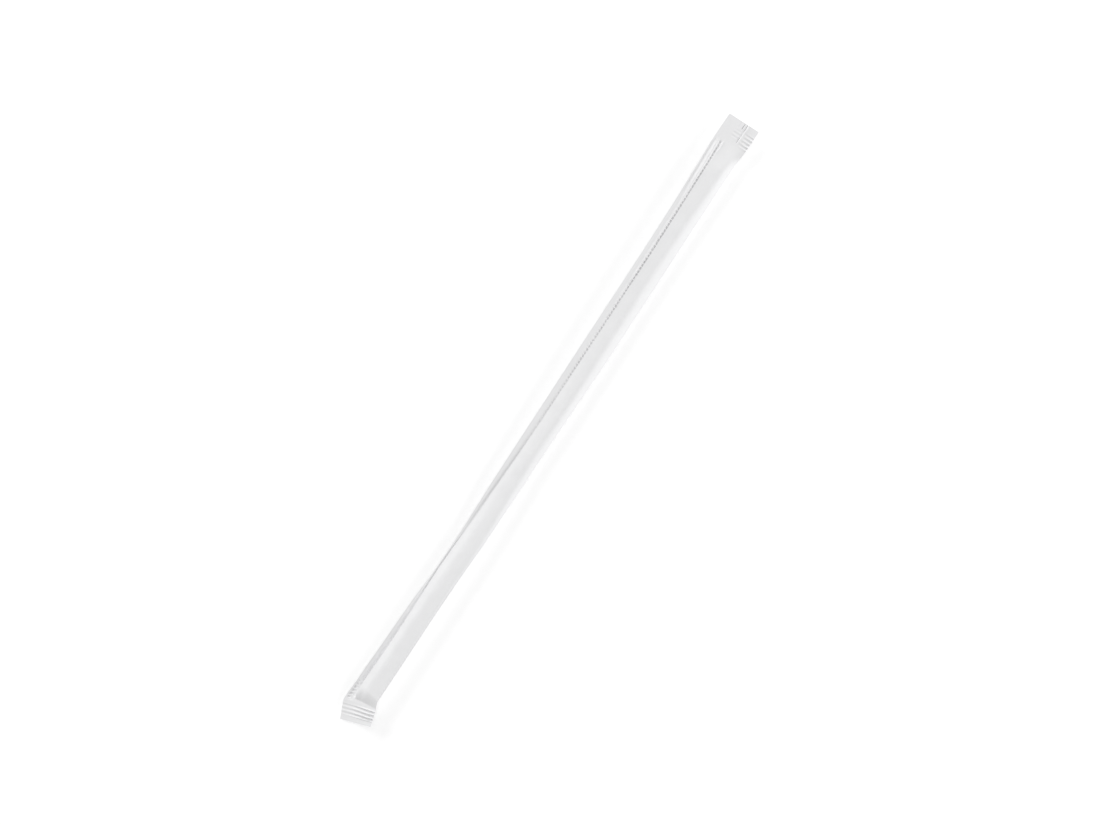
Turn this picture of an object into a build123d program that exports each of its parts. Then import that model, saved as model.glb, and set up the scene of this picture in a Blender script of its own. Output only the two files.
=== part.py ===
"""Wrapped drinking straw: a straw sealed in a paper sleeve, lying as it rests on a table.

The sleeve is one strip of paper folded in half along the straw. The open long side is pressed
together into a flat seam, the fin, and each end is pressed flat into a crimped tab. The pack is
closed, so the sleeve and what it holds are one solid. Along its length the sleeve turns a little
round the straw: near the upper end the fin stands nearly level with the top of the straw, and near
the lower end it hangs down to the table. The lower tab is bent sideways and stands on a slant.

Millimetres. X runs along the straw, with +X to the upper end, the fin is on the +Y side, and Z is
up from the table that the straw lies on.
"""
import os
from math import cos, hypot, radians, sin

from build123d import *

# The straw and the paper round it
straw_diameter = 3.4
paper = 0.06               # one layer
tube_width = 6.8           # the open sleeve, from fin root to folded edge
fin_width = 2.7            # pressed seam beside it
tab_width = 10.5           # the sleeve pressed flat
pressed = 0.3              # thickness of fin and tabs, with their crimp

# Along the sleeve
sleeve_length = 214.5      # middle of one end edge to middle of the other
upper_opening = 15.0       # from the upper tab to the straw's full height
lower_opening = 8.0        # the same at the lower tab, close to the straw's end

# Upper tab
upper_tab_length = 6.5     # from the end edge to where the sleeve opens
upper_tab_height = 2.6     # its middle above the table
upper_tab_shift = 2.0      # its middle from the straw, to the fin side
upper_crimp_reach = 6.0    # crimp lines run in from the folded edge, over this much of the width
cross_crimps = (4.2, 5.1, 6.3)   # lines along the tab, each measured from the folded edge

# Lower tab
lower_tab_length = 5.9
lower_tab_height = 1.95
lower_tab_shift = 0.45
lower_tab_skew = 19.0      # degrees, bent sideways in plan
lower_tab_slant = 14.0     # degrees, folded-edge side up

# Crimp lines: a groove on top and its rib below. Plain paper is left from them to the end edge.
seal_margin = 0.4          # from where the sleeve opens to the nearest crimp line
crimp_lines = 4
crimp_pitch = 1.15
crimp_half_width = 0.3
crimp_depth = 0.1

# How the open sleeve lies near its upper end. A drop is measured down from the straw's top, a
# crest and a foot across from the straw, with + to the fin side.
upper_fin_drop = 0.65
upper_root_drop = 0.45
upper_edge_drop = 2.15
upper_crest = (-0.7, 1.2)
upper_foot = (-1.1, 1.1)   # flat strip that the straw's weight presses on the table

# The same near its lower end
lower_root_drop = 1.25
lower_edge_drop = 1.1
lower_fin_reach = 1.5      # fin in plan, hanging down with its tip just off the table
lower_fin_clearance = 0.05
lower_crest = (-1.4, 1.1)
lower_foot = (-0.6, 1.6)

top = straw_diameter + 2 * paper
half_tube = tube_width / 2
half_tab = tab_width / 2
half_pressed = pressed / 2


def around_straw(tip, root, edge, crest, foot):
    """Outline of the open sleeve as ten (y, z) points, from the fin's tip over the straw and back."""
    reach = hypot(tip[0] - root[0], tip[1] - root[1])
    lean = (root[1] - tip[1]) / reach * half_pressed
    rise = (tip[0] - root[0]) / reach * half_pressed
    return [
        (tip[0] + lean, tip[1] + rise),
        (root[0] + lean, root[1] + rise),
        (crest[1], top),
        (crest[0], top),
        (edge[0], edge[1] + half_pressed),
        (edge[0], edge[1] - half_pressed),
        (foot[0], 0),
        (foot[1], 0),
        (root[0] - lean, root[1] - rise),
        (tip[0] - lean, tip[1] - rise),
    ]


def pressed_flat(shift, height, slant):
    """The same ten points on a flat tab, with its folded edge raised by the slant."""
    flat, up = cos(radians(slant)), sin(radians(slant))
    across = [half_tab, half_tab - fin_width, 0, -half_tab / 2, -half_tab]

    def face(side):
        return [(shift + y * flat + side * up, height - y * up + side * flat) for y in across]

    return face(half_pressed) + face(-half_pressed)[::-1]


def blend(first, second, share):
    """Outline between two others, at share 0 the first and at share 1 the second."""
    return [
        (a[0] + (b[0] - a[0]) * share, a[1] + (b[1] - a[1]) * share)
        for a, b in zip(first, second)
    ]


def ease(share):
    """A share from 0 to 1 that leaves 0 and reaches 1 gently."""
    return share * share * (3 - 2 * share)


def across_plane(x, skew, beyond=0.0):
    """Plane across the sleeve at x, turned in plan by the skew and moved out to the lower end."""
    out_x, out_y = cos(radians(skew)), sin(radians(skew))
    return Plane(
        origin=(x - beyond * out_x, -beyond * out_y, 0),
        x_dir=(-out_y, out_x, 0),
        z_dir=(out_x, out_y, 0),
    )


upper_sleeve = around_straw(
    tip=(half_tube + fin_width, top - upper_fin_drop),
    root=(half_tube, top - upper_root_drop),
    edge=(-half_tube, top - upper_edge_drop),
    crest=upper_crest,
    foot=upper_foot,
)
lower_sleeve = around_straw(
    tip=(half_tube + lower_fin_reach, half_pressed + lower_fin_clearance),
    root=(half_tube, top - lower_root_drop),
    edge=(-half_tube, top - lower_edge_drop),
    crest=lower_crest,
    foot=lower_foot,
)
upper_tab = pressed_flat(upper_tab_shift, upper_tab_height, 0)
lower_tab = pressed_flat(lower_tab_shift, lower_tab_height, lower_tab_slant)

upper_end = sleeve_length / 2
lower_end = -upper_end
upper_seal = upper_end - upper_tab_length
lower_seal = lower_end + lower_tab_length * cos(radians(lower_tab_skew))
upper_full = upper_seal - upper_opening
lower_full = lower_seal + lower_opening

# Outlines with their planes, from the lower end edge to the upper one
opening_steps = 6
turning_steps = 8
stations = [(lower_tab, across_plane(lower_seal, lower_tab_skew, beyond=lower_tab_length))]
for step in range(opening_steps):
    share = step / opening_steps
    skew = lower_tab_skew * (1 - ease(share))
    plane = across_plane(lower_seal + share * lower_opening, skew)
    stations.append((blend(lower_tab, lower_sleeve, ease(share)), plane))
for step in range(turning_steps + 1):
    share = step / turning_steps
    plane = across_plane(lower_full + share * (upper_full - lower_full), 0)
    stations.append((blend(lower_sleeve, upper_sleeve, ease(share)), plane))
for step in range(1, opening_steps + 1):
    share = step / opening_steps
    plane = across_plane(upper_full + share * upper_opening, 0)
    stations.append((blend(upper_sleeve, upper_tab, ease(share)), plane))
stations.append((upper_tab, across_plane(upper_end, 0)))

# Middle of each end edge: X points out of the end, Z up from the tab
upper_tab_plane = Plane(origin=(upper_end, upper_tab_shift, upper_tab_height))
lower_across = stations[0][1]
lower_tab_plane = Plane(
    origin=lower_across.from_local_coords((lower_tab_shift, lower_tab_height, 0)),
    x_dir=-lower_across.z_dir,
    z_dir=lower_across.y_dir * cos(radians(lower_tab_slant))
    + lower_across.x_dir * sin(radians(lower_tab_slant)),
)


def crimps_across(tab, tab_length, reach):
    """Profile plane, places and length of the crimp lines that run across a tab."""
    origin = tab.from_local_coords((seal_margin - tab_length, reach - half_tab, 0))
    places = [line * crimp_pitch for line in range(crimp_lines)]
    return Plane(origin=origin, x_dir=tab.x_dir, z_dir=-tab.y_dir), places, reach


def crimps_along(tab, tab_length, places):
    """The same for the lines that run along it, placed from its folded edge."""
    origin = tab.from_local_coords((-tab_length, -half_tab, 0))
    return Plane(origin=origin, x_dir=tab.y_dir, z_dir=tab.x_dir), places, tab_length


crimps = [
    crimps_across(upper_tab_plane, upper_tab_length, upper_crimp_reach),
    crimps_along(upper_tab_plane, upper_tab_length, cross_crimps),
    crimps_across(lower_tab_plane, lower_tab_length, tab_width),
]

with BuildPart() as wrapped_straw:
    # Sleeve and straw, trimmed flat where they lie on the table
    for points, plane in stations:
        with BuildSketch(plane):
            with BuildLine():
                Line(points[9], points[0])
                Line(points[0], points[1])
                Spline(points[1:5])
                Line(points[4], points[5])
                Spline(points[5:9])
                Line(points[8], points[9])
            make_face()
    loft(ruled=True)
    split(bisect_by=Plane.XY, keep=Keep.TOP)

    # Crimp lines
    for plane, places, length in crimps:
        for height, mode in ((half_pressed, Mode.SUBTRACT), (-half_pressed, Mode.ADD)):
            with BuildSketch(plane):
                with Locations(*[(place, height) for place in places]):
                    Ellipse(crimp_half_width, crimp_depth)
            extrude(amount=length, mode=mode)

wrapped_straw.part.label = "wrapped_straw"
os.makedirs("parts", exist_ok=True)
export_step(wrapped_straw.part, "parts/wrapped_straw.step")
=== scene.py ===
"""Wrapped drinking straw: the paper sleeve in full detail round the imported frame, and its stage.

The pack lies as it rests on a table. X runs along the straw, +X to the upper end, the pressed
seam is on the +Y side, and Z is up. Everything is in metres.
"""
import math

import bpy
import numpy as np
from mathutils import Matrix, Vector, noise


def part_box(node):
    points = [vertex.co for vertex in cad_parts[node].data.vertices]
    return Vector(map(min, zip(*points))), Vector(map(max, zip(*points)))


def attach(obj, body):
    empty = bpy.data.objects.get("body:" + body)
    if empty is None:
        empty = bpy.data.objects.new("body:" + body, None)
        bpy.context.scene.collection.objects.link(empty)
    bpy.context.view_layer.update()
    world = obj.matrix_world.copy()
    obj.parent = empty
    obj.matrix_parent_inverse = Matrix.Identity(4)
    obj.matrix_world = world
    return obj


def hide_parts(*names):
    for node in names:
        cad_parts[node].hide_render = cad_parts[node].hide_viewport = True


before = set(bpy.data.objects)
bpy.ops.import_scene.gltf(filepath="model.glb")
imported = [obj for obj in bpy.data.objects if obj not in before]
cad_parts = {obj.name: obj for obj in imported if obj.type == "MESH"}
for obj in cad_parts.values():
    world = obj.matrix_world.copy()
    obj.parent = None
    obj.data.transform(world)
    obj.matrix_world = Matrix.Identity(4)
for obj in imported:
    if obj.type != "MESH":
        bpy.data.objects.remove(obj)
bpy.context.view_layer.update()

bl_info = {
    "name": "Wrapped Drinking Straw",
    "version": (1, 0, 0),
    "blender": (4, 5, 0),
    "location": "View3D > Sidebar > Wrapped Straw",
    "description": "Models a straw sealed in a crimped paper sleeve, and a plain studio round it",
    "category": "Add Mesh",
}

MM = 0.001
NODE = "wrapped_straw"
UPPER_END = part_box(NODE)[1][0]   # end edge of the upper tab along X

# ---------------------------------------------------------------- sizes a user would change


class SleeveSettings(bpy.types.PropertyGroup):
    """Sizes and colour of the paper sleeve."""

    tab_width: bpy.props.FloatProperty(
        name="Tab Width", description="Sleeve pressed flat, half the width of its strip of paper",
        default=10.5 * MM, unit="LENGTH", precision=5)
    fin_width: bpy.props.FloatProperty(
        name="Fin Width", description="Pressed seam along the sleeve",
        default=2.6 * MM, unit="LENGTH", precision=5)
    pressed: bpy.props.FloatProperty(
        name="Pressed Thickness", description="Two layers of paper pressed together",
        default=0.16 * MM, unit="LENGTH", precision=5)
    upper_tab_height: bpy.props.FloatProperty(
        name="Upper Tab Height", description="Upper tab above the table",
        default=2.6 * MM, unit="LENGTH", precision=5)
    lower_tab_height: bpy.props.FloatProperty(
        name="Lower Tab Height", description="Middle of the lower tab above the table",
        default=1.8 * MM, unit="LENGTH", precision=5)
    lower_tab_skew: bpy.props.FloatProperty(
        name="Lower Tab Skew", description="Sideways bend of the lower tab in plan",
        default=math.radians(20.5), subtype="ANGLE")
    crimp_depth: bpy.props.FloatProperty(
        name="Crimp Depth", description="From the top of a crimp line's ridge to its valley",
        default=0.29 * MM, unit="LENGTH", precision=5)
    crimp_pitch: bpy.props.FloatProperty(
        name="Crimp Pitch", description="From one crimp line to the next",
        default=1.14 * MM, unit="LENGTH", precision=5)
    knurl_depth: bpy.props.FloatProperty(
        name="Knurl Depth", description="Depth of the marks pressed into the seam",
        default=0.40 * MM, unit="LENGTH", precision=5)
    knurl_pitch: bpy.props.FloatProperty(
        name="Knurl Pitch", description="From one pressed mark of the seam to the next",
        default=1.12 * MM, unit="LENGTH", precision=5)
    paper_colour: bpy.props.FloatVectorProperty(
        name="Paper Colour", description="Colour of the plain paper",
        default=(0.79, 0.79, 0.796), size=3, min=0, max=1, subtype="COLOR")


class StudioSettings(bpy.types.PropertyGroup):
    """Camera, light and floor of the stage."""

    camera_height: bpy.props.FloatProperty(
        name="Camera Height", description="Lens above the table, looking straight down",
        default=0.919, unit="LENGTH")
    lens: bpy.props.FloatProperty(
        name="Lens", description="Focal length of the camera, in millimetres", default=100.0, min=1)
    floor_colour: bpy.props.FloatVectorProperty(
        name="Floor Colour", description="Colour of the plain floor",
        default=(0.93, 0.93, 0.93), size=3, min=0, max=1, subtype="COLOR")


# ---------------------------------------------------------------- how the sleeve lies

# The open sleeve at places along it, from near its lower end to near its upper one. Each line
# holds, in millimetres: x; the seam's outer edge y, z; the seam's fall over its width; the sleeve's
# side above the seam y, z; crest by the seam y, z and its rounding; crest by the folded edge y, z
# and its rounding; folded edge y, z; the two sides of the foot y.
LIES = MM * np.array([
    (-94, 5.24, 0.80, 0.05, 3.34, 2.46, 0.90, 3.50, 1.0, -3.12, 3.50, 0.5, -3.64, 3.28, -0.6, 1.6),
    (-85, 5.08, 0.85, 0.08, 3.16, 2.50, 0.90, 3.50, 1.0, -2.95, 3.55, 0.8, -3.60, 3.28, -0.6, 1.6),
    (-67, 4.78, 0.95, 0.35, 3.28, 2.46, 1.00, 3.45, 1.0, -2.72, 3.61, 1.3, -3.47, 3.20, -0.6, 1.6),
    (-55, 4.26, 1.10, 0.85, 3.46, 2.26, 1.05, 3.38, 1.0, -2.60, 3.62, 1.5, -3.52, 3.12, -0.7, 1.5),
    (-43, 4.20, 1.45, 0.60, 3.12, 2.32, 0.95, 3.32, 1.0, -2.50, 3.62, 1.6, -3.77, 2.94, -0.8, 1.4),
    (-25, 4.70, 2.00, 0.20, 2.86, 2.47, 0.90, 3.22, 1.2, -1.95, 3.60, 1.4, -3.78, 2.33, -0.9, 1.3),
    (-10, 4.96, 2.30, 0.12, 2.68, 2.58, 1.00, 3.15, 1.2, -1.45, 3.59, 1.4, -3.70, 1.96, -1.0, 1.2),
    (5, 5.15, 2.52, 0.08, 2.67, 2.66, 1.00, 3.20, 1.2, -1.52, 3.59, 1.4, -3.70, 1.93, -1.0, 1.2),
    (23, 5.40, 2.82, 0.05, 2.83, 2.90, 1.10, 3.29, 1.2, -1.28, 3.57, 1.6, -3.82, 1.60, -1.1, 1.1),
    (40, 5.61, 3.02, 0.03, 3.00, 3.10, 1.15, 3.39, 1.2, -0.95, 3.56, 1.8, -3.60, 1.52, -1.1, 1.1),
    (59, 5.86, 3.18, 0.02, 3.24, 3.38, 1.20, 3.49, 1.2, -0.55, 3.55, 2.2, -3.35, 1.52, -1.1, 1.1),
    (75, 6.20, 3.15, 0.02, 3.60, 3.36, 1.25, 3.46, 1.2, -0.62, 3.54, 2.2, -3.14, 1.56, -1.1, 1.1),
    (88, 6.62, 3.10, 0.00, 3.92, 3.31, 1.30, 3.43, 1.2, -0.85, 3.52, 2.0, -3.00, 1.66, -1.1, 1.1),
])
# The row of marks pressed into the seam. Each line holds: x, distance of the row's middle from the
# sleeve's side and its half width, in millimetres; its depth as a share of the knurl depth, and the
# depth of the groove between two marks as a share of that.
MARKS = np.array([
    (-96, -0.05, 0.95, 1.40, 0.7),
    (-75, -0.05, 0.85, 1.10, 0.7),
    (-65, 0.05, 0.55, 0.36, 0.8),
    (-57, 0.10, 0.38, 0.62, 1.0),
    (-50, 0.14, 0.40, 0.60, 1.0),
    (-42, 0.16, 0.50, 0.24, 1.0),
    (-32, 0.18, 0.70, 0.24, 0.8),
    (-15, 0.12, 0.80, 0.31, 0.7),
    (-5, 0.12, 0.78, 0.42, 0.5),
    (5, 0.14, 0.74, 0.62, 0.4),
    (25, 0.18, 0.70, 0.92, 0.15),
    (42, 0.18, 0.74, 1.30, 0.1),
    (55, 0.14, 0.68, 1.10, 0.0),
    (75, 0.18, 0.74, 1.20, 0.0),
    (88, 0.18, 0.68, 0.95, 0.1),
    (96, 0.20, 0.62, 0.75, 0.3),
])
SIDE_AT = 7.2 * MM               # across the paper from the folded edge, in the open sleeve

# Upper tab, as distances from its end edge
UPPER_SEAL = 6.3 * MM
UPPER_SEAL_DRIFT = 0.10          # of the distance across: the seal ends further in by the seam
UPPER_OPENINGS = (6.8 * MM, 16.0 * MM)   # run in which the sleeve opens, at the fold and at the seam
UPPER_TAB_SHIFT = 1.94 * MM      # of its middle along Y
UPPER_TAB_TURN = math.radians(0.9)
UPPER_CRIMP = 2.96 * MM          # the line nearest to the end edge
UPPER_CRIMP_LINES = 4
# Lines along it: millimetres from the fold, and strength near the end edge and near the seal
CROSS_CRIMPS = ((3.83, 0.9, 0.75), (4.73, 1.15, 0.0), (6.0, 0.35, 0.0))
CROSS_CRIMP_HALF_WIDTH = 0.32 * MM
CROSS_RIDGE = 3.28 * MM          # a ridge from the fold, beside the first of those lines
CROSS_RIDGE_HALF_WIDTH = 0.40 * MM

WANDER = 0.05 * MM               # of every crimp line about its straight course

# Lower tab, as distances from its end edge
LOWER_SEAL = 6.4 * MM            # half way across it
LOWER_SEAL_AT = -101.35 * MM     # that place along X
LOWER_SEAL_AT_FOLD = 5.8 * MM
LOWER_SEAL_SLOPE = 0.26          # of the distance across
LOWER_SEAL_BEND = 12.8           # per metre across
LOWER_BEND = 5.9 * MM            # where it bends sideways
LOWER_OPENINGS = (3.6 * MM, 4.5 * MM)    # as on the upper tab
LOWER_STEEPNESS = 1.5            # 1 would be an even slope down to the seal
LOWER_CORNER = 6.9 * MM          # across it, where the sleeve's side comes down on the seam
LOWER_CORNER_HALF_WIDTH = 1.6 * MM
LOWER_CORNER_STEEPNESS = (3.5, 0.8)      # added to it there, along Y and along Z
LOWER_TAB_SHIFT = 0.48 * MM
LOWER_TAB_TURNS = (math.radians(17.0), math.radians(20.8))     # at the bend and at the end edge
LOWER_TAB_SLANTS = (math.radians(10.5), math.radians(16))      # seam side down, at the same places
LOWER_TAB_NARROWS = 0.055        # share of its width lost to the crimps at the end edge
LOWER_CRIMP = 2.12 * MM
LOWER_PITCH = 1.03               # of the pitch on the upper tab
LOWER_CRIMP_LINES = 3
TURN_RUN = 6.5 * MM              # of the open sleeve, in which it turns to the lower tab

# Seam, as distances from its outer edge and from the sleeve's ends
KNURL_FROM_UPPER_END = 8.5 * MM
KNURL_FROM_LOWER_END = 6.6 * MM
KNURL_FADE = 0.6 * MM
RIDGE_ENDS = (45 * MM, 95 * MM)  # it fades out between these distances from the upper end
RIDGE_PARTS = (20 * MM, 34 * MM)  # and nearer to that end it stands further off, broad and high
RIDGE_FROM_KNURL = (0.60 * MM, 0.88 * MM)
RIDGE_HALF_WIDTH = (0.50 * MM, 0.75 * MM)
RIDGE_HEIGHT = (0.15 * MM, 0.30 * MM)
RIDGE_START = 3 * MM             # in which it rises, at that end
MARGIN_LINE = 0.66 * MM          # a fine groove outside the ridge
MARGIN_HALF_WIDTH = 0.24 * MM
MARGIN_DEPTH = 0.11 * MM
LIP_HEIGHT = 0.19 * MM           # raised edge on the sleeve's side of the marks, by the upper tab
LIP_FROM_KNURL = 0.75 * MM
LIP_HALF_WIDTH = 0.34 * MM
LIP_RUN = 14.5 * MM
LIP_FADE = 4 * MM
LADDER_RUN = 13 * MM             # where the marks are short rungs, near the lower end
LADDER_FADE = 3 * MM
LADDER = (0.80 * MM, 1.40 * MM)  # between these distances from the outer edge
LADDER_PITCH = 0.83              # of the pitch of the marks
LADDER_DEPTH = 0.8               # of the knurl depth

# Loose paper
PLEATS_AT = 0.45 * MM            # from the folded edge, where short pleats follow it
PLEAT_PITCH = 1.1 * MM
PLEAT_DEPTH = 0.13 * MM
PLEATS_END = -45 * MM            # along X, where they are gone
PLEATS_FADE = 15 * MM
# Waves of the slack over the straw: length along it, length across it, height, and a layer of noise
SLACK_WAVES = ((15 * MM, 4 * MM, 0.055 * MM, 0), (5 * MM, 2 * MM, 0.018 * MM, 7))
SLACK_BETWEEN = (1.5 * MM, 6.6 * MM)     # across, from the folded edge
SLACK_FADE = 1.2 * MM


SLEEVE_LENGTH = UPPER_END - LOWER_SEAL_AT + LOWER_SEAL   # along the paper, from edge to edge


def stations():
    """Distances of the mesh's rows from the upper end edge, closer on the tabs."""
    fine, coarse = 0.13 * MM, 0.205 * MM
    upper, lower = 7.0 * MM, SLEEVE_LENGTH - 9.0 * MM
    return np.concatenate([
        np.linspace(0, upper, round(upper / fine), endpoint=False),
        np.linspace(upper, lower, round((lower - upper) / coarse), endpoint=False),
        np.linspace(lower, SLEEVE_LENGTH, round((SLEEVE_LENGTH - lower) / fine) + 1),
    ])


def columns(sleeve, layer):
    """Distances of one layer's columns from the folded edge, closest in the lines and the seam."""
    root = sleeve.tab_width - sleeve.fin_width
    bands = {
        "top": [(0, 1.0 * MM, 6), (1.0 * MM, 3.3 * MM, 7), (3.3 * MM, 5.5 * MM, 13),
                (5.5 * MM, SIDE_AT, 7), (SIDE_AT, root, 4), (root, sleeve.tab_width, 17)],
        "bottom": [(0, 3.3 * MM, 7), (3.3 * MM, 5.5 * MM, 6), (5.5 * MM, SIDE_AT, 4),
                   (SIDE_AT, root, 2), (root, sleeve.tab_width, 11)],
    }[layer]
    parts = [np.linspace(start, end, count, endpoint=False) for start, end, count in bands]
    return np.concatenate(parts + [[sleeve.tab_width]])


def smooth_between(x, at, values):
    """Smooth curve through the values at the stations, level beyond the first and last."""
    x = np.clip(x, at[0], at[-1])
    span = np.clip(np.searchsorted(at, x) - 1, 0, len(at) - 2)
    width = (at[span + 1] - at[span])[:, None]
    slopes = np.gradient(values, at, axis=0)
    slopes[[0, -1]] = 0
    t = (x - at[span])[:, None] / width
    return ((2 * t**3 - 3 * t**2 + 1) * values[span] + (t**3 - 2 * t**2 + t) * width * slopes[span]
            + (3 * t**2 - 2 * t**3) * values[span + 1] + (t**3 - t**2) * width * slopes[span + 1])


def rounded(points, roundings):
    """Path through the points with its inner corners rounded, for every row at once."""
    path = [points[0]]
    for before, corner, after, reach in zip(points, points[1:], points[2:], roundings):
        ends = []
        for other in (before, after):
            side = other - corner
            run = np.linalg.norm(side, axis=1, keepdims=True)
            ends.append(corner + side * np.minimum(reach[:, None] / run, 0.48))
        for t in np.linspace(0, 1, 9):
            path.append((1 - t)**2 * ends[0] + 2 * t * (1 - t) * corner + t**2 * ends[1])
    path.append(points[-1])
    return np.stack(path, axis=1)


def spread(path, shares):
    """Points at the given shares of each row's path."""
    steps = np.linalg.norm(np.diff(path, axis=1), axis=2)
    runs = np.concatenate([np.zeros((len(path), 1)), np.cumsum(steps, axis=1)], axis=1)
    places = np.empty((len(path), len(shares), 2))
    for row, run in enumerate(runs):
        for axis in (0, 1):
            places[row, :, axis] = np.interp(shares * run[-1], run, path[row, :, axis])
    return places


def ease(share):
    """A share from 0 to 1 that leaves 0 and reaches 1 gently."""
    share = np.clip(share, 0, 1)
    return share * share * (3 - 2 * share)


def bump(distance, half_width):
    """A smooth rise to 1 where the distance is 0, gone at the half width."""
    return ease(1 - np.abs(distance) / half_width)


def window(value, start, end, soft):
    """1 from start to end, easing to 0 over the soft width outside them."""
    return ease((value - start) / soft + 1) * ease((end - value) / soft + 1)


def open_section(sleeve, x, across, side):
    """Where one layer lies round the straw, in each row: y and z, and the seam's normal."""
    (edge_y, edge_z, drop, side_y, side_z, left_y, left_z, left_round, right_y, right_z,
     right_round, fold_y, fold_z, foot_right, foot_left) = smooth_between(x, LIES[:, 0], LIES[:, 1:]).T
    reach = np.sqrt(sleeve.fin_width**2 - drop**2)
    normal = np.stack([drop, reach], axis=1) / sleeve.fin_width
    half = sleeve.pressed / 2 * side
    root = np.stack([edge_y - reach, edge_z + drop], axis=1)
    fold = np.stack([fold_y, fold_z + half], axis=1)
    seam_root = root + normal * half
    seam_tip = seam_root + np.stack([reach, -drop], axis=1)
    level = np.zeros_like(x)
    if side > 0:
        corners = [np.stack([right_y, right_z], axis=1), np.stack([left_y, left_z], axis=1),
                   np.stack([side_y, side_z], axis=1)]
        roundings = [right_round, left_round]
    else:
        corners = [np.stack([foot_right, level], axis=1), np.stack([foot_left, level], axis=1)]
        roundings = [level + 0.9 * MM, level + 0.9 * MM]
        corners.append(corners[1] + (seam_root - corners[1]) * 0.8)
    seam_at = sleeve.tab_width - sleeve.fin_width
    tube = across[across <= SIDE_AT]
    tuck = across[(across > SIDE_AT) & (across <= seam_at)]
    seam = across[across > seam_at]
    turn = corners.pop()
    places = [spread(rounded([fold, *corners, turn], roundings), tube / SIDE_AT)]
    share = ((tuck - SIDE_AT) / (seam_at - SIDE_AT))[None, :, None]
    places.append(turn[:, None] + (seam_root - turn)[:, None] * share)
    share = ((seam - seam_at) / sleeve.fin_width)[None, :, None]
    places.append(seam_root[:, None] + (seam_tip - seam_root)[:, None] * share)
    return np.concatenate(places, axis=1), normal, edge_y - side_y


def flat_section(sleeve, across, side, shift, height, slant, narrow):
    """Where one layer lies on a tab, in each row: y and z, and the tab's normal."""
    along = np.stack([np.cos(slant), -np.sin(slant)], axis=1)
    normal = np.stack([np.sin(slant), np.cos(slant)], axis=1)
    middle = np.stack([shift, height], axis=1) + normal * sleeve.pressed / 2 * side
    out = (across - sleeve.tab_width / 2)[None, :, None] * (1 - narrow)[:, None, None]
    return middle[:, None] + along[:, None] * out, normal


def crimp_relief(sleeve, from_upper, from_lower, across):
    """Height of the lines pressed into the two tabs."""
    wander = WANDER * np.sin(across / (1.3 * MM)) * np.cos(from_upper / (2.1 * MM))
    depth = sleeve.crimp_depth / 2
    pitch = sleeve.crimp_pitch

    def lines(distance, first, count, pitch):
        wave = -np.cos(2 * math.pi * (distance + wander - first) / pitch)
        last = first + (count - 1) * pitch
        start = ease((distance - first) / (0.4 * pitch) + 1.6)
        return wave * start * ease((last - distance) / (0.5 * pitch) + 1.6)

    upper = lines(from_upper, UPPER_CRIMP, UPPER_CRIMP_LINES, pitch)
    near_fold = window(across, 0, 2.5 * MM, 0.5 * MM) * (2.1 - 1.45 * ease(across / (1.1 * MM)))
    past_cross = 0.35 * window(across, 4.7 * MM, 6.0 * MM, 0.9 * MM)
    past_cross = past_cross * window(from_upper, 3.2 * MM, 5.4 * MM, 0.6 * MM)
    relief = depth * upper * (near_fold + past_cross)

    near_end = 1 - ease((from_upper - 1.9 * MM) / (0.6 * MM))
    near_seal = window(from_upper, 4.8 * MM, 6.1 * MM, 0.5 * MM)
    near_seal = np.maximum(near_seal, 0.35 * window(from_upper, 2.6 * MM, 6.0 * MM, 0.4 * MM))
    for place, by_end, by_seal in CROSS_CRIMPS:
        strength = by_end * near_end + by_seal * near_seal
        relief = relief - 1.9 * depth * strength * bump(across - place * MM, CROSS_CRIMP_HALF_WIDTH)
    on_tab = 1 - ease((from_upper - 6.0 * MM) / (0.8 * MM))
    relief = relief + 1.1 * depth * on_tab * bump(across - CROSS_RIDGE, CROSS_RIDGE_HALF_WIDTH)

    lower = lines(from_lower, LOWER_CRIMP, LOWER_CRIMP_LINES, LOWER_PITCH * pitch)
    growing = 0.35 + 2.1 * ease(1.25 - 1.5 * across / sleeve.tab_width)
    return relief + depth * lower * growing


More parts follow.
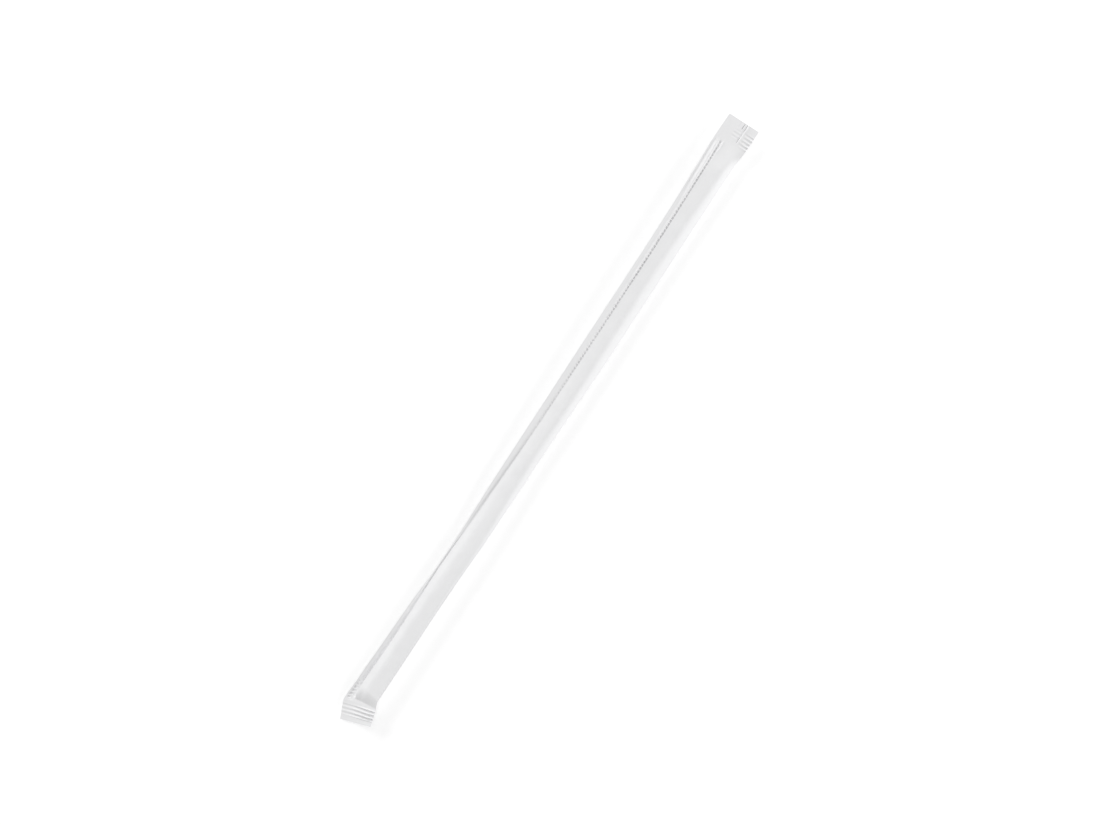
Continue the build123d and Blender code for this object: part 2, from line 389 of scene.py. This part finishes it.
def seam_relief(sleeve, x, from_upper, from_lower, across, shown):
    """Height of the ridge and the row of marks pressed into the seam, by the sleeve's side."""
    from_edge = sleeve.tab_width - across
    from_start = from_upper - KNURL_FROM_UPPER_END
    here = ease(from_start / KNURL_FADE + 1)
    here = here * ease((from_lower - KNURL_FROM_LOWER_END) / KNURL_FADE + 1)
    from_side, half_width, depth, groove = (
        np.interp(x, MM * MARKS[:, 0], column)[:, None] for column in MARKS[:, 1:].T)
    line = shown - from_side * MM
    beat = ease(0.55 + 0.8 * np.cos(2 * math.pi * from_upper / sleeve.knurl_pitch))
    uneven = 1 + 0.25 * np.sin(from_upper / (3.7 * MM)) * np.cos(from_upper / (9.1 * MM))
    marks = depth * bump(from_edge - line, half_width * MM) * (groove + (1 - groove) * beat) * uneven
    rungs = 1 - ease((from_lower - LADDER_RUN) / LADDER_FADE + 1)
    rung = 0.5 - 0.5 * np.cos(2 * math.pi * from_lower / (LADDER_PITCH * sleeve.knurl_pitch))
    ladder = LADDER_DEPTH * rungs * window(from_edge, *LADDER, 0.3 * MM) * rung**2

    near = 1 - ease((from_upper - RIDGE_PARTS[0]) / (RIDGE_PARTS[1] - RIDGE_PARTS[0]))
    stand_off, broad, high = (
        far + (close - far) * near
        for far, close in (RIDGE_FROM_KNURL, RIDGE_HALF_WIDTH, RIDGE_HEIGHT))
    ridge = high * bump(from_edge - line + stand_off, broad)
    ridge = ridge * (1 - ease((from_upper - RIDGE_ENDS[0]) / (RIDGE_ENDS[1] - RIDGE_ENDS[0])))
    ridge = ridge * ease((from_start + 1 * MM) / RIDGE_START)
    margin = MARGIN_DEPTH * near * bump(from_edge - MARGIN_LINE, MARGIN_HALF_WIDTH)
    lip = LIP_HEIGHT * bump(from_edge - line - LIP_FROM_KNURL, LIP_HALF_WIDTH)
    lip = lip * (1 - ease((from_upper - LIP_RUN) / LIP_FADE + 1))
    pressed_in = sleeve.knurl_depth * np.maximum((1 - 0.8 * rungs) * marks, ladder)
    return here * (ridge + lip - margin - pressed_in)


def pleats(x, across):
    """Depth of the short pleats along the folded edge of the sleeve's lower half."""
    beat = 0.5 + 0.5 * np.cos(2 * math.pi * x / PLEAT_PITCH + 1.7 * np.sin(x / (6 * MM)))
    there = ease((PLEATS_END - x) / PLEATS_FADE)
    return PLEAT_DEPTH * there * (0.3 + 0.7 * beat) * bump(across - PLEATS_AT, PLEATS_AT)


def slack(x, across, side):
    """Soft waves of the loose paper over the straw, gone at the folded edge and the seam."""
    waves = np.zeros(np.broadcast(x, across).shape)
    for along, beside, height, layer in SLACK_WAVES:
        for row, column in np.ndindex(waves.shape):
            place = Vector((x[row, 0] / along, across[0, column] / beside, side + layer))
            waves[row, column] += height * noise.noise(place)
    return waves


def lay(sleeve, run, across, side):
    """Places of one layer's points: rows at the runs from the upper end, columns across."""
    from_upper = run[:, None]
    from_lower = (SLEEVE_LENGTH - run)[:, None]
    beyond = np.maximum(LOWER_BEND - from_lower[:, 0], 0)
    x = UPPER_END - run + beyond
    width = across[None, :]
    share_across = width / sleeve.tab_width

    opened, seam_normal, shown = open_section(sleeve, x, across, side)
    flat = np.zeros_like(run)
    upper_tab, upper_normal = flat_section(
        sleeve, across, side, flat + UPPER_TAB_SHIFT, flat + sleeve.upper_tab_height, flat, flat)
    out = np.clip(beyond / LOWER_BEND, 0, 1)
    slant = LOWER_TAB_SLANTS[0] + (LOWER_TAB_SLANTS[1] - LOWER_TAB_SLANTS[0]) * out
    lower_tab, lower_normal = flat_section(
        sleeve, across, side, flat + LOWER_TAB_SHIFT, flat + sleeve.lower_tab_height, slant,
        LOWER_TAB_NARROWS * out)

    upper_seal = UPPER_SEAL + UPPER_SEAL_DRIFT * width
    opening = UPPER_OPENINGS[0] + (UPPER_OPENINGS[1] - UPPER_OPENINGS[0]) * share_across
    to_upper = 1 - ease((from_upper - upper_seal) / opening)
    section = opened + (upper_tab - opened) * to_upper[..., None]

    lower_seal = LOWER_SEAL_AT_FOLD + LOWER_SEAL_SLOPE * width - LOWER_SEAL_BEND * width**2
    opening = LOWER_OPENINGS[0] + (LOWER_OPENINGS[1] - LOWER_OPENINGS[0]) * share_across
    share = np.clip(1 - (from_lower - lower_seal) / opening, 0, 1)
    to_lower = share**LOWER_STEEPNESS
    at_corner = bump(width - LOWER_CORNER, LOWER_CORNER_HALF_WIDTH)
    steepness = LOWER_STEEPNESS + np.array(LOWER_CORNER_STEEPNESS) * at_corner[..., None]
    section = section + (lower_tab - section) * share[..., None]**steepness

    free = (1 - to_upper) * (1 - to_lower) * window(width, *SLACK_BETWEEN, SLACK_FADE) * (side > 0)
    section[..., 1] += free * slack(x[:, None], width, side)
    section[..., 1] -= (1 - to_lower) * (side > 0) * pleats(x[:, None], width)
    crimps = crimp_relief(sleeve, from_upper, from_lower, width)
    tab_normal = np.where((from_upper < from_lower)[..., None],
                          upper_normal[:, None], lower_normal[:, None])
    section += tab_normal * crimps[..., None]
    marks = seam_relief(sleeve, x, from_upper, from_lower, width, shown[:, None])
    section += seam_normal[:, None] * marks[..., None]

    turn = UPPER_TAB_TURN * (1 - ease(from_upper / UPPER_SEAL))
    turn = turn + LOWER_TAB_TURNS[0] * ease(1 - (from_lower - LOWER_BEND) / TURN_RUN)
    turn = turn + (LOWER_TAB_TURNS[1] - LOWER_TAB_TURNS[0]) * out[:, None]
    skew = sleeve.lower_tab_skew
    shift = np.where(from_lower < from_upper, LOWER_TAB_SHIFT, UPPER_TAB_SHIFT)
    offset = section[..., 0] - shift
    places = np.empty(section.shape[:2] + (3,))
    places[..., 0] = (x - beyond * math.cos(skew))[:, None] - offset * np.sin(turn)
    places[..., 1] = shift - (beyond * math.sin(skew))[:, None] + offset * np.cos(turn)
    places[..., 2] = np.maximum(section[..., 1], 0)
    return places


# ---------------------------------------------------------------- modelling


def start_alone():
    """Leaves nothing selected, so that an operator acts on its own piece only."""
    if bpy.context.mode != "OBJECT":
        bpy.ops.object.mode_set(mode="OBJECT")
    bpy.ops.object.select_all(action="DESELECT")


def select_edges(obj, wanted):
    """Selects just these edges of the object in edit mode."""
    bpy.ops.object.mode_set(mode="EDIT")
    bpy.ops.mesh.select_mode(type="EDGE")
    bpy.ops.mesh.select_all(action="DESELECT")
    bpy.ops.object.mode_set(mode="OBJECT")
    obj.data.edges.foreach_set("select", wanted)
    bpy.ops.object.mode_set(mode="EDIT")


def fold_strip(sleeve, rows, top, bottom):
    """A flat strip of paper, folded in half along its middle."""
    count = len(top) + len(bottom)
    start_alone()
    bpy.ops.mesh.primitive_grid_add(
        x_subdivisions=len(rows) - 1, y_subdivisions=count - 1, size=2)
    strip = bpy.context.object
    points = np.empty(len(strip.data.vertices) * 3)
    strip.data.vertices.foreach_get("co", points)
    points = points.reshape(-1, 3)
    row = np.rint((1 - points[:, 0]) / 2 * (len(rows) - 1)).astype(int)
    column = np.rint((points[:, 1] + 1) / 2 * (count - 1)).astype(int)
    half = sleeve.pressed / 2
    widths = np.concatenate([-half - bottom[::-1], half + top])
    points[:, 0] = UPPER_END - rows[row]
    points[:, 1] = widths[column]
    strip.data.vertices.foreach_set("co", points.ravel())
    strip.data.update()

    bpy.ops.object.mode_set(mode="EDIT")
    bpy.ops.mesh.select_mode(type="VERT")
    bpy.ops.mesh.select_all(action="DESELECT")
    bpy.ops.object.mode_set(mode="OBJECT")
    strip.data.vertices.foreach_set("select", points[:, 1] < 0)
    bpy.ops.object.mode_set(mode="EDIT")
    bpy.ops.transform.rotate(value=math.pi, orient_axis="X", center_override=(0, 0, -half))
    bpy.ops.object.mode_set(mode="OBJECT")
    return strip, row, column


def close_edges(strip, row, column, last_row, first_top, last_column):
    """Joins the two layers along both end edges and along the seam's outer edge."""
    ends = np.empty(len(strip.data.edges) * 2, dtype=np.int32)
    strip.data.edges.foreach_get("vertices", ends)
    ends = ends.reshape(-1, 2)
    rows, cols = row[ends], column[ends]
    one_layer = (cols < first_top).all(axis=1) | (cols >= first_top).all(axis=1)
    chains = [
        (rows == 0).all(axis=1) & one_layer,
        (rows == last_row).all(axis=1) & one_layer,
        (cols == 0).all(axis=1) | (cols == last_column).all(axis=1),
    ]
    for chain in chains:
        wanted = np.zeros(len(strip.data.edges), dtype=bool)
        wanted[:len(chain)] = chain
        select_edges(strip, wanted)
        bpy.ops.mesh.bridge_edge_loops()
        bpy.ops.object.mode_set(mode="OBJECT")


def model_sleeve(sleeve):
    """The paper sleeve with the straw in it, as one closed skin."""
    rows = stations()
    top, bottom = columns(sleeve, "top"), columns(sleeve, "bottom")
    strip, row, column = fold_strip(sleeve, rows, top, bottom)
    places = np.concatenate([
        lay(sleeve, rows, bottom, -1)[:, ::-1],
        lay(sleeve, rows, top, 1),
    ], axis=1)
    strip.data.vertices.foreach_set("co", places[row, column].ravel())
    strip.data.update()
    close_edges(strip, row, column, len(rows) - 1, len(bottom), len(bottom) + len(top) - 1)
    bpy.ops.object.mode_set(mode="EDIT")
    bpy.ops.mesh.select_all(action="SELECT")
    bpy.ops.mesh.remove_doubles(threshold=0.001 * MM)
    bpy.ops.mesh.normals_make_consistent(inside=False)
    bpy.ops.object.mode_set(mode="OBJECT")
    bpy.ops.object.shade_smooth_by_angle(angle=math.radians(50))
    strip.name = strip.data.name = "paper_sleeve"
    return strip


# ---------------------------------------------------------------- materials


def new_material(name, colour, roughness):
    """A node material with its colour and roughness on the shader's own sockets, and its shader."""
    material = bpy.data.materials.new(name)
    material.use_nodes = True
    shader = material.node_tree.nodes["Principled BSDF"]
    shader.inputs["Base Color"].default_value = (*colour, 1)
    shader.inputs["Roughness"].default_value = roughness
    return material, shader


def add_noise(nodes, links, coordinates, scale, detail, roughness=0.5):
    """A noise texture on the given coordinates."""
    texture = nodes.new("ShaderNodeTexNoise")
    texture.inputs["Scale"].default_value = scale
    texture.inputs["Detail"].default_value = detail
    texture.inputs["Roughness"].default_value = roughness
    links.new(coordinates, texture.inputs["Vector"])
    return texture.outputs["Fac"]


def add_range(nodes, links, value, low, high):
    """The value, spread from low to high."""
    spread_out = nodes.new("ShaderNodeMapRange")
    spread_out.inputs["From Min"].default_value = 0.3
    spread_out.inputs["From Max"].default_value = 0.7
    spread_out.inputs["To Min"].default_value = low
    spread_out.inputs["To Max"].default_value = high
    links.new(value, spread_out.inputs["Value"])
    return spread_out.outputs["Result"]


def make_sleeve_paper(colour):
    """Thin white wrapping paper: faintly cloudy, matte, with short fibres lying along it."""
    material, shader = new_material("sleeve_paper", colour, 0.62)
    nodes, links = material.node_tree.nodes, material.node_tree.links
    place = nodes.new("ShaderNodeTexCoord").outputs["Object"]
    grain = nodes.new("ShaderNodeMapping")
    grain.inputs["Scale"].default_value = (0.35, 1, 1)
    links.new(place, grain.inputs["Vector"])

    clouds = add_noise(nodes, links, place, 260, 3)
    specks = add_noise(nodes, links, grain.outputs["Vector"], 2600, 4, 0.6)
    shade = nodes.new("ShaderNodeMath")
    shade.operation = "MULTIPLY"
    links.new(add_range(nodes, links, clouds, 0.985, 1.012), shade.inputs[0])
    links.new(add_range(nodes, links, specks, 0.985, 1.01), shade.inputs[1])
    tint = nodes.new("ShaderNodeVectorMath")
    tint.operation = "SCALE"
    tint.inputs[0].default_value = colour
    links.new(shade.outputs[0], tint.inputs["Scale"])
    links.new(tint.outputs["Vector"], shader.inputs["Base Color"])
    links.new(add_range(nodes, links, clouds, 0.57, 0.68), shader.inputs["Roughness"])
    shader.inputs["Specular IOR Level"].default_value = 0.35

    fibres = nodes.new("ShaderNodeBump")
    fibres.inputs["Strength"].default_value = 0.12
    fibres.inputs["Distance"].default_value = 0.03 * MM
    links.new(specks, fibres.inputs["Height"])
    pillow = nodes.new("ShaderNodeBump")
    pillow.inputs["Strength"].default_value = 0.15
    pillow.inputs["Distance"].default_value = 0.08 * MM
    links.new(add_noise(nodes, links, grain.outputs["Vector"], 700, 2), pillow.inputs["Height"])
    links.new(fibres.outputs["Normal"], pillow.inputs["Normal"])
    links.new(pillow.outputs["Normal"], shader.inputs["Normal"])
    return material


def make_floor(colour):
    """Plain pale studio floor, lit a little from below like a light table."""
    material, shader = new_material("studio_floor", colour, 0.8)
    shader.inputs["Specular IOR Level"].default_value = 0.1
    shader.inputs["Emission Color"].default_value = (1, 1, 1, 1)
    shader.inputs["Emission Strength"].default_value = 0.17
    return material


# ---------------------------------------------------------------- stage

PICTURE_TURN = math.radians(-56.12)     # the straw lies aslant in the picture
AIM = Vector((2.6, 1.85, 0)) * MM
FLOOR_SIZE = 8.0
# Name, direction round the camera's right, elevation, distance, width, height, power in watts
LIGHTS = [
    ("right_softbox", -8, 15, 3.2, 2.8, 1.5, 74.0),
    ("left_softbox", 135, 15, 3.2, 2.8, 1.5, 79.0),
    ("top_softbox", 90, 82, 3.0, 2.2, 2.2, 17.0),
]
WORLD_STRENGTH = 0.5


def add_light(name, bearing, elevation, distance, width, height, power):
    """A large soft light that looks at the object, unseen by the camera."""
    start_alone()
    round_z = PICTURE_TURN + math.radians(bearing)
    up = math.radians(elevation)
    place = Vector((math.cos(up) * math.cos(round_z), math.cos(up) * math.sin(round_z), math.sin(up)))
    bpy.ops.object.light_add(type="AREA", location=place * distance)
    light = bpy.context.object
    light.name = light.data.name = name
    light.rotation_euler = place.to_track_quat("Z", "Y").to_euler()
    light.data.shape = "RECTANGLE"
    light.data.size = width
    light.data.size_y = height
    light.data.energy = power
    light.visible_camera = False
    return light


def add_camera(studio):
    """A camera straight above the straw."""
    start_alone()
    bpy.ops.object.camera_add(
        location=AIM + Vector((0, 0, studio.camera_height)), rotation=(0, 0, PICTURE_TURN))
    camera = bpy.context.object
    camera.name = camera.data.name = "camera"
    camera.data.lens = studio.lens
    camera.data.sensor_width = 36
    camera.data.clip_start = 0.01
    camera.data.clip_end = 50
    bpy.context.scene.camera = camera


def add_world():
    """Even pale light from all round."""
    world = bpy.data.worlds.new("studio_world")
    world.use_nodes = True
    background = world.node_tree.nodes["Background"]
    background.inputs["Color"].default_value = (1, 1, 1, 1)
    background.inputs["Strength"].default_value = WORLD_STRENGTH
    bpy.context.scene.world = world


# ---------------------------------------------------------------- operators


class WRAPPED_STRAW_OT_sleeve(bpy.types.Operator):
    """Add the paper sleeve with the straw sealed in it"""

    bl_idname = "wrapped_straw.sleeve"
    bl_label = "Paper Sleeve"
    bl_options = {"REGISTER", "UNDO"}

    def execute(self, context):
        sleeve = context.scene.wrapped_straw_sleeve
        piece = model_sleeve(sleeve)
        piece.data.materials.append(make_sleeve_paper(tuple(sleeve.paper_colour)))
        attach(piece, "root")
        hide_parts(NODE)
        return {"FINISHED"}


class WRAPPED_STRAW_OT_studio(bpy.types.Operator):
    """Add the floor, the lights, the world and the camera"""

    bl_idname = "wrapped_straw.studio"
    bl_label = "Studio"
    bl_options = {"REGISTER", "UNDO"}

    def execute(self, context):
        studio = context.scene.wrapped_straw_studio
        start_alone()
        bpy.ops.mesh.primitive_plane_add(size=FLOOR_SIZE)
        floor = context.object
        floor.name = floor.data.name = "studio_floor"
        floor.data.materials.append(make_floor(tuple(studio.floor_colour)))
        for light in LIGHTS:
            add_light(*light)
        add_world()
        add_camera(studio)
        context.scene.view_settings.view_transform = "Standard"
        return {"FINISHED"}


class WRAPPED_STRAW_PT_panel(bpy.types.Panel):
    """Wrapped straw in the sidebar"""

    bl_idname = "WRAPPED_STRAW_PT_panel"
    bl_label = "Wrapped Straw"
    bl_space_type = "VIEW_3D"
    bl_region_type = "UI"
    bl_category = "Wrapped Straw"

    def draw(self, context):
        column = self.layout.column()
        for group, operator in (
            (context.scene.wrapped_straw_sleeve, WRAPPED_STRAW_OT_sleeve),
            (context.scene.wrapped_straw_studio, WRAPPED_STRAW_OT_studio),
        ):
            for name in group.bl_rna.properties.keys():
                if name not in ("rna_type", "name"):
                    column.prop(group, name)
            column.operator(operator.bl_idname)
            column.separator()


CLASSES = (
    SleeveSettings,
    StudioSettings,
    WRAPPED_STRAW_OT_sleeve,
    WRAPPED_STRAW_OT_studio,
    WRAPPED_STRAW_PT_panel,
)


def register():
    for item in CLASSES:
        bpy.utils.register_class(item)
    bpy.types.Scene.wrapped_straw_sleeve = bpy.props.PointerProperty(type=SleeveSettings)
    bpy.types.Scene.wrapped_straw_studio = bpy.props.PointerProperty(type=StudioSettings)


def unregister():
    del bpy.types.Scene.wrapped_straw_studio
    del bpy.types.Scene.wrapped_straw_sleeve
    for item in reversed(CLASSES):
        bpy.utils.unregister_class(item)


def main():
    register()
    bpy.ops.wrapped_straw.studio()
    bpy.ops.wrapped_straw.sleeve()


if __name__ == "__main__":
    main()
